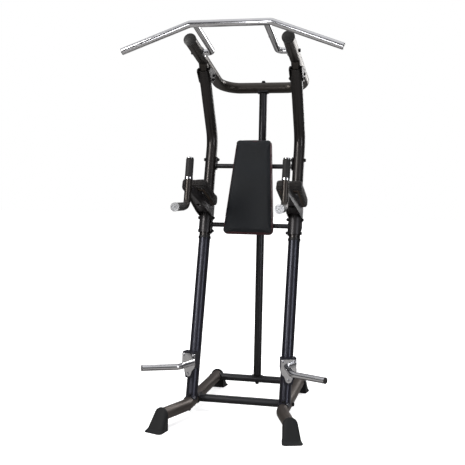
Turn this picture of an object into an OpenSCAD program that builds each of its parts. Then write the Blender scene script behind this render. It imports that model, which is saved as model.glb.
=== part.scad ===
// Free-standing power tower: pull-up bar with neutral grips, knee-raise and dip station, push-up handles.
// Millimetres, +Z up, front of the tower towards -Y. The origin is on the floor, on the mid-plane, at the
// middle of the footprint. "right" is the +X side, which is on the right for somebody facing the tower.

/* [Overall] */
// Distance between the centre lines of the two main uprights
stance_w = 544; // [520:2:600]
// Height of the pull-up bar centre line above the floor
bar_h = 2160; // [2140:5:2175]

/* [Main tubes] */
// Outside diameter of the uprights, yoke and base side tubes
tube_d = 68; // [66:0.5:70]
// Wall thickness of the main tubes
wall = 3; // [2:0.5:4]
// Height of the base tube centre line above the floor
base_h = 81; // [80:1:84]
// Outward splay angle of the front legs, degrees
splay = 19.4; // [15:0.5:22]
// Outside diameter of the rear post
post_d = 50; // [46:1:54]
// Outside diameter of the two base crossmembers
cross_d = 45; // [42:1:48]

/* [Uprights] */
// Rearward lean of the lower uprights, degrees
lean_lo = 15.6; // [15.2:0.1:16]
// Forward lean of the upper uprights above the knee, degrees
lean_up = 30.3; // [30:0.1:30.8]
// Bend radius at the knee
knee_r = 145; // [120:5:160]
// Height of the joint between lower and upper upright
joint_z = 1011; // [1005:1:1016]

/* [Yoke] */
// Upward tilt of the yoke arms towards the front, degrees
yoke_tilt = 12.3; // [12:0.1:12.6]
// Bend radius of the yoke corners
yoke_r = 130; // [120:5:140]

/* [Bar and handles] */
// Outside diameter of the chrome pull-up bar and neutral grips
bar_d = 36; // [33:1:36]
// Half length of the pull-up bar, centre to tip
bar_half = 583; // [560:1:600]
// Diameter of the push-up handles
push_d = 35; // [32:1:36]
// Diameter of the dip handle tube
dip_tube_d = 38; // [36:0.5:38]

/* [Pads] */
// Length of the back pad along its face
pad_len = 584; // [550:2:590]
// Width of the back pad at the top
pad_w_top = 222; // [200:2:226]
// Width of the back pad at the bottom
pad_w_bot = 304; // [280:2:308]
// Length of an arm pad
arm_pad_len = 314; // [280:2:318]
// Width of an arm pad
arm_pad_w = 150; // [116:2:152]

/* [Hidden] */
$fn = 64;
eps = 0.01;

// Parts are laid out with the rear crossmember on y = 0, then moved back to centre the footprint
footprint_shift = 448.3;

// Tubes, fits and holes
half_w = stance_w / 2;
tube_r = tube_d / 2;
bore = tube_d - 2 * wall;
light_wall = 2.5;                  // wall of the lighter tubes
plug_d = bore - 0.6;               // what slides inside a main tube
plug_bore = bore - 8;
fit = 0.3;                         // added to the diameter of a tube that a part cups or sleeves
saddle_t = 5;                      // thickness of most cupped plates
bolt_gap = 0.4;                    // bolt seat to tube surface
hole_12 = 12.5;                    // holes for 12, 10, 8 and 6 mm fasteners
hole_10 = 10.5;
hole_8 = 8.5;
hole_6 = 6.4;

// Base
front_cross_y = -529;
rear_cross_y = 0;
leg_corner_y = -698;               // where the side tubes bend outwards
front_rim_y = -915;                // front foot opening
rear_rim_y = 26;                   // rear foot opening
foot_inset = 12;                   // length along Y from a foot opening to the tube end
foot_bolt_y = [-648, -548];

// Uprights
knee = [half_w, -181.5, 1609];
upper_bolt_z = 1483;
lower_bolt_z = 1050;

// Yoke
yoke_y = 49;                       // rear cross tube
yoke_z = 1951;
yoke_front_y = -722;
saddle_bolts = [[-334, 1979], [-350, 1952]];   // y, z

// Centre lines of the lower upright, upper upright, yoke arm and splayed leg on the right side
function lower_y(z) = knee[1] - (knee[2] - z) * tan(lean_lo);
function lower_at(z) = [half_w, lower_y(z), z];
function upper_y(z) = knee[1] - (z - knee[2]) * tan(lean_up);
function upper_at(z) = [half_w, upper_y(z), z];
function yoke_at(y) = [half_w, y, yoke_z + (yoke_y - y) * tan(yoke_tilt)];
function leg_at(y, z) = [half_w + (leg_corner_y - y) * tan(splay), y, z];

// height at which an upper upright centre line meets the yoke arm centre line
meet_z = (yoke_z + (yoke_y - knee[1] - knee[2] * tan(lean_up)) * tan(yoke_tilt))
    / (1 - tan(lean_up) * tan(yoke_tilt));
top_z = meet_z - 64 * cos(lean_up); // end of the upper upright on its centre line

// Rear post centre line
post_bot = [0, rear_cross_y, base_h];
post_top = [0, yoke_y, yoke_z];
post_dir = unit(post_top - post_bot);

// Pull-up bar
bar_y = -928;
bar_bend = 215;                    // where the bar bends down, from the mid-plane
bar_corner = [bar_bend, bar_y, bar_h];
bar_tip = [bar_half, bar_y - 9, bar_h - 135];

// Neutral grips: from the bar back to a corner, then outwards to the yoke arm
grip_d = bar_d - 2;
grip_x = 188;
grip_y = -541;
grip_mount = yoke_at(grip_y);
grip_front = [grip_x, bar_y + 4, bar_h - 1];
grip_corner = [grip_x, grip_y, grip_mount[2]];
grip_end = [half_w - tube_r + 8, grip_y, grip_mount[2]];
grip_screw_y = -741;

// Back pad
pad_mid_z = 1308;
pad_bar_d = 28;
upper_cross_z = 1444;
lower_cross_z = 1089;
pad_tab_x = 62;
pad_screw_step = 19;               // screws above and below a crossbar

// Arm rests
arm_origin = [half_w, -325, 1207];
arm_pitch = 19.8;
arm_bolt_z = 1128;
arm_screws = [[-37, -240], [37, -240], [-22, -75], [22, -75]];   // x, y in the arm frame

// Dip handles: a rising tube that bends forward at the bottom
dip_z = 1207;
dip_top = [half_w, -691, 1471];
dip_low = [half_w, -750.5, dip_z];
dip_end = [half_w + 6, -950, dip_z];
dip_up = unit(dip_top - dip_low);
dip_forward = unit(dip_end - dip_low);
function dip_at(z) = dip_low + (dip_top - dip_low) * ((z - dip_z) / (dip_top[2] - dip_z));

// Push-up handles, in the push frame
push_z = 293;
push_yaw = 20;
plate_off = 56;                    // push frame origin to the back of the handle plate
push_screw_spots = [[-32, 52], [32, 52], [0, -54]];   // x, z
push_start = [0, -(plate_off + 5.2), 0];
push_corner = push_start - [0, 89, 0];
push_dir = [sin(45), -cos(45), 0];
push_end = push_corner + 209 * push_dir;

// ---------- placing ----------
module place() translate([0, footprint_shift, 0]) children();

// parts are drawn on the right; hand is 1 for right, -1 for left
module side(hand) if (hand > 0) children(); else mirror([1, 0, 0]) children();
module both_sides() for (hand = [-1, 1]) side(hand) children();

function unit(v) = v / norm(v);

// local Z turned to point along a direction
module along(origin, direction) {
    u = unit(direction);
    on_z = abs(u[0]) + abs(u[1]) < 1e-9;
    translate(origin) rotate([0, acos(u[2]), on_z ? 0 : atan2(u[1], u[0])]) children();
}

// frame on the lower upright line at height z, local Z up the lean
module leaned(x, z) translate([x, lower_y(z), z]) rotate([-lean_lo, 0, 0]) children();

// ---------- shapes ----------
module rod(from, to, d) along(from, to - from) cylinder(d = d, h = norm(to - from));

// one straight-bend-straight sweep of a round section through three points
module bend(start, corner, end, radius, d, extra_start = 0, extra_end = 0) {
    dir_in = unit(corner - start);
    dir_out = unit(end - corner);
    turn = acos(dir_in * dir_out);
    setback = radius * tan(turn / 2);
    arc_start = corner - dir_in * setback;
    arc_end = corner + dir_out * setback;
    centre = corner + unit(dir_out - dir_in) * (radius / cos(turn / 2));
    radial = unit(arc_start - centre);
    axis = cross(radial, dir_in);
    rod(start - dir_in * extra_start, arc_start, d);
    // hairline joint rings keep the sweep in one piece
    rod(arc_start - dir_in * 0.5, arc_start + dir_in * 0.5, d + 0.04);
    rod(arc_end - dir_out * 0.5, arc_end + dir_out * 0.5, d + 0.04);
    multmatrix([
        [radial[0], dir_in[0], axis[0], centre[0]],
        [radial[1], dir_in[1], axis[1], centre[1]],
        [radial[2], dir_in[2], axis[2], centre[2]],
        [0, 0, 0, 1]])
        rotate_extrude(angle = turn) translate([radius, 0]) circle(d = d);
    rod(arc_end, end + dir_out * extra_end, d);
}
module bent_tube(start, corner, end, radius, d, t) difference() {
    bend(start, corner, end, radius, d);
    bend(start, corner, end, radius, d - 2 * t, 1, 1);
}

// curved plate that cups a tube lying along local X, on its +Z side
module saddle(r, t, len, w) difference() {
    intersection() {
        rotate([0, 90, 0]) cylinder(r = r + t, h = len, center = true);
        translate([-len / 2, -w / 2, 0]) cube([len, w, r + t + 1]);
    }
    rotate([0, 90, 0]) cylinder(r = r + fit / 2, h = len + 2, center = true);
}

// stem of a tube plug, reaching below z = 0
module plug_stem(d, depth) translate([0, 0, -depth]) cylinder(d = d, h = depth + 0.5);

// hole that runs outwards along X from the mid-plane
module cross_hole(y, z, d = hole_10) translate([0, y, z]) rotate([0, 90, 0]) cylinder(d = d, h = 400);
module yoke_arm_cut(d) rod(yoke_at(-700), yoke_at(-150), d);
module lower_upright_cut(d, top = 1400) rod(lower_at(1000), lower_at(top), d);

// ---------- fastener shapes ----------
// hex bolt along local Z: head below z = 0, shank upwards, washer and nut at the far end
module bolt(d, grip, nut = true) {
    washer_t = 2;
    translate([0, 0, -d * 0.65 - washer_t]) cylinder(d = d * 1.9, h = d * 0.65, $fn = 6);
    translate([0, 0, -washer_t]) cylinder(d = d * 2.2, h = washer_t);
    translate([0, 0, -washer_t]) cylinder(d = d, h = grip + (nut ? d * 1.1 + 2 : 0) + washer_t);
    if (nut) {
        translate([0, 0, grip]) cylinder(d = d * 2.2, h = washer_t);
        translate([0, 0, grip + washer_t]) cylinder(d = d * 1.9, h = d * 0.8, $fn = 6);
    }
}

// bolt that enters a main tube from its outer side; gap is from the tube surface to the bolt seat
module side_bolt(y, z, d, grip, gap = bolt_gap, nut = true)
    translate([half_w + tube_r + gap, y, z]) rotate([0, -90, 0]) bolt(d, grip, nut);

// button head screw along local Z, head below z = 0
module button(d, len) {
    difference() {
        intersection() {
            translate([0, 0, d * 0.75]) sphere(r = d * 1.3);
            translate([0, 0, -d * 0.55]) cylinder(d = d * 1.9, h = d * 0.55);
        }
        translate([0, 0, -d * 0.6]) cylinder(d = d * 0.6, h = d * 0.35, $fn = 6);
    }
    translate([0, 0, -eps]) cylinder(d = d, h = len + eps);
}

// ---------- base ----------
module base_side(hand) side(hand) place() color("dimgray") difference() {
    bent_tube([half_w, rear_rim_y + foot_inset, base_h], leg_at(leg_corner_y, base_h),
        leg_at(front_rim_y - foot_inset, base_h), 240, tube_d, wall);
    // crossmember bolts, horizontal
    for (y = [front_cross_y, rear_cross_y])
        translate([half_w, y, base_h]) rotate([0, 90, 0])
            cylinder(d = hole_12, h = tube_d + 4, center = true);
    // upright foot bolts, vertical
    for (y = foot_bolt_y)
        translate([half_w, y, base_h]) cylinder(d = hole_10, h = tube_d + 4, center = true);
}

module crossmember(y, saddle_len) place() color([0.13, 0.13, 0.14]) difference() {
    half_len = half_w - tube_r + 4;
    union() {
        difference() {
            translate([-half_len, y, base_h]) rotate([0, 90, 0])
                cylinder(d = cross_d, h = 2 * half_len);
            translate([-half_len - 1, y, base_h]) rotate([0, 90, 0])
                cylinder(d = cross_d - 2 * light_wall, h = 2 * half_len + 2);
        }
        both_sides() {
            // curved end plate that cups the inner side of the side tube
            translate([half_w, y, base_h]) rotate([0, -90, 0]) rotate([0, 0, 90])
                saddle(tube_r, saddle_t, saddle_len, 50);
            // threaded plate inside the end of the tube
            translate([half_w - tube_r - 14, y, base_h]) rotate([0, 90, 0])
                cylinder(d = cross_d - 4, h = 7);
        }
    }
    // post bolt
    if (y == rear_cross_y)
        translate([0, 0, base_h]) cylinder(d = 13, h = cross_d + 4, center = true);
    both_sides() {
        translate([half_w, y, base_h]) rotate([0, -90, 0]) cylinder(d = 12.3, h = tube_r + 24);
        translate([half_w, y - 60, base_h]) rotate([-90, 0, 0]) cylinder(d = tube_d + fit, h = 120);
    }
}

// moulded slipper foot; local +Y runs out to the toe, the opening is at y = 0
module foot() color([0.1, 0.1, 0.1]) difference() {
    shell = 7;
    union() {
        hull() {
            intersection() {
                translate([0, 0, base_h]) rotate([-90, 0, 0])
                    cylinder(r = tube_r + shell, h = 13, $fn = 40);
                translate([-60, 0, base_h]) cube([120, 20, 60]);
            }
            translate([-tube_r - shell, 0, 8]) cube([2 * (tube_r + shell), 12, 20]);
            for (x = [-1, 1]) translate([x * 33, 57, 3]) cylinder(r = 17, h = 10, $fn = 32);
        }
        // flared sole
        hull() {
            translate([-tube_r - 9, 0, 0]) cube([2 * tube_r + 18, 12, 5]);
            for (x = [-1, 1]) translate([x * 36, 76, 0]) cylinder(r = 20, h = 3, $fn = 32);
            for (x = [-1, 1]) translate([x * 33, 59, 0]) cylinder(r = 17, h = 15, $fn = 32);
        }
        // plug inside the base tube
        translate([0, -16, base_h]) rotate([-90, 0, 0]) cylinder(d = plug_d, h = 32);
    }
    // ring-shaped slot for the wall of the base tube
    difference() {
        translate([0, -1, base_h]) rotate([-90, 0, 0]) cylinder(d = tube_d + 0.6, h = 14.2);
        translate([0, -2, base_h]) rotate([-90, 0, 0]) cylinder(d = plug_d, h = 20);
    }
    translate([0, -18, base_h]) rotate([-90, 0, 0]) cylinder(d = plug_bore, h = 28);
}
module front_foot(hand) side(hand) place()
    translate(leg_at(front_rim_y, 0)) rotate([0, 0, 180 + splay]) foot();
module rear_foot(hand) side(hand) place() translate([half_w, rear_rim_y, 0]) foot();

// ---------- rear post ----------
module rear_post() place() color([0.12, 0.12, 0.13]) {
    bottom = post_bot + post_dir * (cross_d / 2 + 3);
    top = post_top - post_dir * (tube_r + 3);
    end_wall = 12;
    difference() {
        union() {
            rod(bottom, top, post_d);
            translate(post_bot) saddle(cross_d / 2, saddle_t, 68, 40);
            translate(post_top) rotate([180, 0, 0]) saddle(tube_r, saddle_t, 68, 56);
        }
        rod(bottom + post_dir * end_wall, top - post_dir * end_wall, post_d - 2 * light_wall);
        along(post_bot, post_dir) cylinder(d = hole_12, h = 60);
        along(post_top, -post_dir) cylinder(d = hole_12, h = 70);
        rod([-half_w, rear_cross_y, base_h], [half_w, rear_cross_y, base_h], cross_d + fit);
        rod([-half_w, yoke_y, yoke_z], [half_w, yoke_y, yoke_z], tube_d + fit);
    }
}

// ---------- uprights ----------
module lower_upright(hand) side(hand) place() color([0.16, 0.16, 0.19]) {
    bottom = lower_at(base_h);
    top = lower_at(joint_z - 4);
    up = unit(top - bottom);
    difference() {
        union() {
            rod(bottom, top, tube_d);
            // cupped foot plate on the base tube
            translate([half_w, -617, base_h]) rotate([0, 0, 90]) saddle(tube_r, saddle_t, 84, 62);
            translate([half_w, -596.5, base_h]) rotate([0, 0, 90]) saddle(tube_r, saddle_t, 125, 44);
        }
        rod(bottom - up * 40, top + up, bore);
        rod([half_w, -800, base_h], [half_w, -400, base_h], tube_d + fit);
        for (y = foot_bolt_y)
            translate([half_w, y, base_h]) cylinder(d = hole_10, h = tube_r + 30);
        push_screw_holes();
    }
    upright_spigot();
    difference() {
        push_bracket();
        push_frame() translate([-36, -plate_off + 5, -90]) cube([72, 100, 152]);
        rod(bottom - up * 40, top, tube_d - 1);
        push_screw_holes();
    }
}

// spigot that enters the upper upright
module upright_spigot() difference() {
    union() {
        rod(lower_at(joint_z - 60), lower_at(joint_z + 88), plug_d);
        rod(lower_at(joint_z - 52), lower_at(joint_z - 30), bore + 1);
    }
    rod(lower_at(joint_z - 61), lower_at(joint_z + 89), bore - 7);
    cross_hole(lower_y(lower_bolt_z), lower_bolt_z);
}

// solid block of the plumb bracket for the push-up handle
module push_bracket() push_frame() intersection() {
    translate([-44, -(plate_off - 1), -82]) cube([88, 46, 152]);
    rotate([90, 0, 0]) translate([0, 0, -10]) linear_extrude(80)
        polygon([[-44, 70], [44, 70], [44, 10], [24, -82], [-24, -82], [-44, 10]]);
}

// upright frame at the middle of the push-up plate: local -Y is the outward normal
module push_frame() translate(lower_at(push_z)) rotate([0, 0, push_yaw]) children();
module at_push_screws(y) push_frame()
    for (spot = push_screw_spots) translate([spot[0], y, spot[1]]) children();
module push_screw_holes() at_push_screws(0) rotate([90, 0, 0]) cylinder(d = 8.4, h = 80);

module upright_collar(hand) side(hand) place() color([0.07, 0.07, 0.07]) difference() {
    half_web = 3.6;                // half thickness of the ring between the tube ends
    rod(lower_at(joint_z - 6), lower_at(joint_z + 6), tube_d + 7);
    rod(lower_at(joint_z - 20), lower_at(joint_z + 20), bore + 0.2);
    rod(lower_at(joint_z - 20), lower_at(joint_z - half_web), tube_d + fit);
    rod(lower_at(joint_z + half_web), lower_at(joint_z + 20), tube_d + fit);
}

module upper_upright(hand) side(hand) place() color([0.14, 0.14, 0.14]) {
    difference() {
        bent_tube(lower_at(joint_z + 4), knee, upper_at(top_z), knee_r, tube_d, wall);
        for (z = [upper_bolt_z, lower_bolt_z]) cross_hole(lower_y(z), z);
        arm_holes();
        saddle_holes();
        yoke_arm_cut(tube_d + 0.6);
    }
    // cheek plates welded on both sides of the top, bolted under the yoke arm
    for (x = [-1, 1]) difference() {
        translate([half_w + x * (tube_r + 1.5) - 3, 0, 0]) rotate([90, 0, 90])
            linear_extrude(6) cheek_outline();
        saddle_holes();
        yoke_arm_cut(tube_d + 0.6);
    }
}

// points are y, z
module cheek_outline() polygon([
    [upper_y(1983) - 36, 1987],
    [upper_y(1983) - 34, 2001],
    [upper_y(2000) + 16, 2018],
    [-296, 2012], [-286, 1998], [-326, 1938], [-352, 1932],
    [upper_y(1935) - 8, 1935]]);
module saddle_holes() for (spot = saddle_bolts) cross_hole(spot[0], spot[1], hole_8);

// ---------- yoke ----------
module upper_yoke() place() color([0.15, 0.15, 0.15]) {
    front = yoke_at(yoke_front_y);
    rear = yoke_at(yoke_y);
    difference() {
        union() {
            both_sides() bend(front, rear, [0, yoke_y, yoke_z], yoke_r, tube_d);
        }
        both_sides() bend(front, rear, [-1, yoke_y, yoke_z], yoke_r, bore, 1, 0);
        // post bolt
        along(post_top, [0, -0.0262, -1]) cylinder(d = hole_12, h = 100, center = true);
        // pull-up bar bolts
        both_sides() cross_hole(grip_y, grip_mount[2]);
    }
    both_sides() {
        // spigot under the arm that drops into the upright
        difference() {
            rod(upper_at(top_z - 40), upper_at(meet_z), 54);
            rod(upper_at(top_z - 41), upper_at(meet_z + 20), 46);
            yoke_arm_cut(tube_d - 1);
        }
        // bolt lug
        difference() {
            translate([half_w - tube_r + 2, -346, 1968]) cube([2 * tube_r - 4, 26, 45]);
            yoke_arm_cut(tube_d - 1);
            saddle_holes();
            rod(upper_at(1700), upper_at(top_z), tube_d + 1);
        }
    }
}

module yoke_cap(hand) side(hand) place() color([0.09, 0.09, 0.09])
    along(yoke_at(yoke_front_y), yoke_at(yoke_front_y) - yoke_at(-600)) difference() {
        rim_d = tube_d + 4;
        union() {
            translate([0, 0, -28]) cylinder(d = plug_d, h = 28);
            cylinder(d = rim_d, h = 4);
            // domed face
            intersection() {
                translate([0, 0, -150]) sphere(r = 158, $fn = 96);
                translate([0, 0, 3.9]) cylinder(d = rim_d, h = 20);
            }
        }
        translate([0, 0, -30]) cylinder(d = plug_bore, h = 27);
    }

// ---------- pull-up bar ----------
module bar_sweep(d, start_x = 0, extra = 0) both_sides()
    bend([start_x, bar_y, bar_h], bar_corner, bar_tip, 50, d, 0, extra);
module grip_sweep(d, extra = 0) both_sides()
    bend(grip_front, grip_corner, grip_end, 30, d, 0, extra);

module pull_up_bar() place() color([0.82, 0.82, 0.84]) difference() {
    union() {
        difference() {
            union() {
                bar_sweep(bar_d);
                // neutral grips, hooked outwards to the yoke arms
                grip_sweep(grip_d);
            }
            bar_sweep(bar_d - 2 * light_wall, -1, 1);
            grip_sweep(grip_d - 2 * light_wall, 1);
        }
        both_sides() {
            // cupped end plate against the inner side of the yoke arm
            translate(grip_mount) rotate([-yoke_tilt, 0, 0]) rotate([0, -90, 0])
                rotate([0, 0, 90]) saddle(tube_r, 4, 56, 42);
            // threaded plate inside the end of the grip tube
            translate([half_w - tube_r - 15, grip_y, grip_mount[2]]) rotate([0, 90, 0])
                cylinder(d = bar_d - 6, h = 9);
        }
    }
    both_sides() {
        yoke_arm_cut(tube_d + 0.5);
        cross_hole(grip_y, grip_mount[2], 10.3);
        // tapped hole on the inner side of the grip
        grip_screw_frame() translate([0, 0, -3]) cylinder(d = 6.3, h = 15);
    }
}

// frame on the inner side of a neutral grip, local Z into the tube
module grip_screw_frame() {
    share = (grip_screw_y - grip_front[1]) / (grip_corner[1] - grip_front[1]);
    z = grip_front[2] + (grip_corner[2] - grip_front[2]) * share;
    translate([grip_x - grip_d / 2, grip_screw_y, z]) rotate([0, 90, 0]) children();
}

module pull_up_bar_plug(hand) side(hand) place() color([0.08, 0.08, 0.08])
    along(bar_tip, bar_tip - bar_corner) {
        plug_stem(bar_d - 5.5, 22);
        cylinder(d = bar_d - 0.6, h = 3);
    }

// ---------- back pad ----------
module pad_crossbar(z, bolt_z) place() color([0.11, 0.11, 0.12]) {
    y = lower_y(z);
    half_len = half_w - tube_r - 6;
    toward_bolt = sign(bolt_z - z);
    bolt_step = 41;                // length of the end plate towards its bolt
    difference() {
        rod([-half_len, y, z], [half_len, y, z], pad_bar_d);
        rod([-half_len - 1, y, z], [half_len + 1, y, z], pad_bar_d - 2 * light_wall);
    }
    both_sides() difference() {
        // end plate along the inner side of the upright
        leaned(half_len - 0.5, z) rotate([90, 0, 90]) linear_extrude(5.5) union() {
            circle(r = 24);
            translate([-17, toward_bolt > 0 ? 0 : -bolt_step]) square([34, bolt_step]);
            translate([0, toward_bolt * bolt_step]) circle(r = 17);
        }
        cross_hole(lower_y(bolt_z), bolt_z);
    }
    // tabs that carry the pad board
    for (s = [-1, 1]) difference() {
        leaned(s * pad_tab_x, z) translate([-22, -17, -24]) cube([44, 5, 48]);
        pad_screw_holes();
        rod([-half_len - 1, y, z], [half_len + 1, y, z], pad_bar_d - 4);
    }
}

// frames of the back pad screws, on the crossbar centre lines, local Z towards the pad
module at_pad_screws()
    for (z = [upper_cross_z, lower_cross_z], s = [-1, 1], k = [-1, 1])
        leaned(s * pad_tab_x, z) translate([0, 0, k * pad_screw_step]) rotate([90, 0, 0]) children();
module pad_screw_holes() at_pad_screws() cylinder(d = hole_6, h = 27);

// rounded trapezoid outline of the back pad
module pad_outline(inset, corner_r) hull() {
    edge = inset + corner_r;
    for (s = [-1, 1]) {
        translate([s * (pad_w_top / 2 - edge), pad_len / 2 - edge]) circle(r = corner_r, $fn = 32);
        translate([s * (pad_w_bot / 2 - edge), -pad_len / 2 + edge]) circle(r = corner_r, $fn = 32);
    }
}

// slab of the back pad; back is how far its rear face lies in front of the upright line
module pad_slab(back, t, inset, corner_r) leaned(0, pad_mid_z)
    translate([0, -back, 0]) rotate([90, 0, 0]) linear_extrude(t) pad_outline(inset, corner_r);
module back_pad_board() place() color([0.35, 0.27, 0.2]) difference() {
    pad_slab(17.2, 12, 8, 20);
    pad_screw_holes();
}
module back_pad_cushion() place() color([0.14, 0.14, 0.15]) pad_slab(29.6, 38, 0, 26);

// ---------- arm rests ----------
// frame on the arm rest: origin under the rear end of the pad, local -Y runs forward along the arm
module arm_frame() translate(arm_origin) rotate([-arm_pitch, 0, 0]) children();
module at_arm_screws(z) for (spot = arm_screws) translate([spot[0], spot[1], z]) children();
module arm_holes() cross_hole(lower_y(arm_bolt_z), arm_bolt_z);

module arm_bracket(hand) side(hand) place() color([0.2, 0.19, 0.18]) {
    arm_channel();
    difference() {
        arm_frame() arm_body();
        lower_upright_cut(tube_d + 0.8);
        leaned(half_w, 1100) translate([-100, tube_r + 3, -200]) cube([200, 100, 600]);
        // seat of the dip handle
        rod(dip_low - (dip_top - dip_low) * 0.1, dip_top, dip_tube_d + 0.1);
    }
}

// channel that wraps the front and flanks of the upright
module arm_channel() difference() {
    outer_r = tube_r + 6.5;
    inner_r = tube_r + 0.4;
    leaned(half_w, 1100) difference() {
        union() {
            translate([0, 0, -66]) cylinder(r = outer_r, h = 174);
            translate([-outer_r, 0, -66]) cube([2 * outer_r, 22, 174]);
        }
        translate([0, 0, -68]) cylinder(r = inner_r, h = 180);
        translate([-inner_r, 0, -68]) cube([2 * inner_r, 60, 180]);
        // chamfered lower corners of the flanks
        for (k = [-1, 1])
            translate([k * 30, 22, -66]) rotate([45, 0, 0]) cube([40, 76, 76], center = true);
    }
    arm_holes();
    // notch on the inner flank for the end plate of the lower pad crossbar
    leaned(half_w - tube_r - 4, lower_cross_z) translate([-9, -26, -80]) cube([18, 80, 106]);
}

// plan of the arm: a taper from the front back to y = -70, then parallel to the rear
module arm_plan(front_half, front_y, rear_half, rear_y) polygon([
    [-front_half, front_y], [front_half, front_y],
    [rear_half, -70], [rear_half, rear_y],
    [-rear_half, rear_y], [-rear_half, -70]]);

module arm_body() {
    // side webs from the handle back to the flanks of the upright
    difference() {
        translate([0, 0, -66]) linear_extrude(56) arm_plan(17, -380, tube_r + 6, 40);
        translate([0, 0, -67]) linear_extrude(80) arm_plan(13.5, -384, tube_r + 2, 42);
    }
    // floor between the webs
    difference() {
        translate([0, 0, -52]) linear_extrude(4) arm_plan(15, -372, tube_r + 3, -20);
        translate([0, -150, -60]) cylinder(d = 36, h = 20);
        for (x = [-22, 22]) translate([x, -75, -60]) cylinder(d = 14, h = 20);
    }
    // pad support plate
    difference() {
        translate([-45, -262, -10]) cube([90, 222, 5]);
        at_arm_screws(-20) cylinder(d = hole_6, h = 30);
    }
}

module arm_pad_outline(inset, corner_r) translate([0, -arm_pad_len / 2]) hull() {
    edge = inset + corner_r;
    for (x = [-1, 1]) for (y = [-1, 1])
        translate([x * (arm_pad_w / 2 - edge), y * (arm_pad_len / 2 - edge)])
            circle(r = corner_r, $fn = 32);
}
module arm_pad_board(hand) side(hand) place() color([0.3, 0.24, 0.19]) difference() {
    arm_frame() translate([0, 0, -4.6]) linear_extrude(12) arm_pad_outline(7, 20);
    arm_frame() at_arm_screws(-20) cylinder(d = hole_6, h = 34);
    lower_upright_cut(tube_d + 15);
}
module arm_pad_cushion(hand) side(hand) place() color([0.12, 0.1, 0.09]) difference() {
    arm_frame() translate([0, 0, 7.8]) linear_extrude(48) arm_pad_outline(0, 26);
    lower_upright_cut(tube_d + 4, 1480);
}

// ---------- dip handles ----------
module dip_handle(hand) side(hand) place() color([0.12, 0.12, 0.13])
    bent_tube(dip_top, dip_low, dip_end, 48, dip_tube_d, light_wall);

module upright_grip(hand) side(hand) place() color([0.09, 0.09, 0.09]) difference() {
    rod(dip_at(1366), dip_at(1467), dip_tube_d + 6);
    rod(dip_at(1360), dip_at(1480), dip_tube_d + fit);
}
module grip_collar(hand) side(hand) place() color([0.85, 0.85, 0.87]) difference() {
    rod(dip_at(1354), dip_at(1365.6), dip_tube_d + 8);
    rod(dip_at(1340), dip_at(1380), dip_tube_d + fit);
}
module upright_grip_cap(hand) side(hand) place() color([0.85, 0.85, 0.87])
    along(dip_top, dip_up) difference() {
        union() {
            plug_stem(dip_tube_d - 5.6, 16);
            // domed head
            intersection() {
                translate([0, 0, 0.3]) cylinder(d = dip_tube_d + 2, h = 20);
                translate([0, 0, -36]) sphere(r = 45);
            }
        }
        translate([0, 0, 5]) cylinder(d = 8, h = 10, $fn = 6);
    }

module dip_grip(hand) side(hand) place() color([0.09, 0.09, 0.09]) difference() {
    rod(dip_end - dip_forward * 134, dip_end - dip_forward * 3, dip_tube_d + 7);
    rod(dip_end - dip_forward * 140, dip_end + dip_forward * 3, dip_tube_d + fit);
}
module dip_grip_cap(hand) side(hand) place() color([0.88, 0.88, 0.9])
    along(dip_end, dip_forward) difference() {
        union() {
            plug_stem(dip_tube_d - 5.6, 16);
            translate([0, 0, 0.3]) cylinder(d = dip_tube_d + 10, h = 7);
        }
        translate([0, 0, 5.5]) cylinder(d = dip_tube_d - 6, h = 4);
        translate([0, 0, -2]) cylinder(d = 8, h = 12, $fn = 6);
    }

// ---------- push-up handles ----------
module push_up_handle(hand) side(hand) place() color([0.8, 0.82, 0.83]) push_frame() difference() {
    union() {
        bend(push_start, push_corner, push_end, 60, push_d);
        // pear-shaped plate, wide at the top
        rotate([90, 0, 0]) translate([0, 0, plate_off + 0.2]) linear_extrude(5) difference() {
            union() {
                polygon([[-42, 62], [42, 62], [44, 60], [44, 14],
                    [17, -60], [-17, -60], [-44, 14], [-44, 60]]);
                translate([0, 2]) circle(r = 45.6);
                translate([0, -54]) circle(r = 18);
            }
            for (spot = push_screw_spots) translate(spot) circle(d = 8.6);
        }
    }
    bend(push_start - [0, 0.5, 0], push_corner, push_end, 60, push_d - 2 * light_wall, 0, 1);
}
module push_up_plug(hand) side(hand) place() color([0.07, 0.07, 0.07]) push_frame()
    along(push_end, push_dir) {
        plug_stem(push_d - 5.6, 20);
        cylinder(d = push_d + 1, h = 5);
    }

// ---------- fasteners ----------
// up through the rear crossmember into the post, and down through the yoke into the post
module post_bolts() place() color([0.2, 0.2, 0.2]) {
    along(post_bot - post_dir * (cross_d / 2 + bolt_gap), post_dir) bolt(12, 44, false);
    along(post_top + post_dir * (tube_r + bolt_gap), -post_dir) bolt(12, 2 * tube_r + 10, false);
}
module base_bolts() place() color([0.2, 0.2, 0.2]) both_sides()
    for (y = [front_cross_y, rear_cross_y]) side_bolt(y, base_h, 12, 2 * tube_r + 16, nut = false);
module upright_foot_bolts() place() color([0.2, 0.2, 0.2]) both_sides()
    for (y = foot_bolt_y)
        translate([half_w, y, base_h + tube_r + 5.6]) rotate([180, 0, 0]) bolt(10, 2 * tube_r + 6.4);
module upright_through_bolts() place() color([0.16, 0.16, 0.16]) both_sides()
    for (z = [upper_bolt_z, lower_bolt_z]) side_bolt(lower_y(z), z, 10, 2 * tube_r + 7.2);
module yoke_saddle_bolts() place() color([0.16, 0.16, 0.16]) both_sides()
    for (spot = saddle_bolts) side_bolt(spot[0], spot[1], 8, 2 * tube_r + 10.8, gap = 5.4);
module pull_up_bar_bolts() place() color([0.16, 0.16, 0.16]) both_sides()
    side_bolt(grip_y, grip_mount[2], 10, 2 * tube_r + 15, nut = false);
module neutral_grip_screws() place() color([0.75, 0.75, 0.77]) both_sides()
    grip_screw_frame() button(6, 8);
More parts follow.
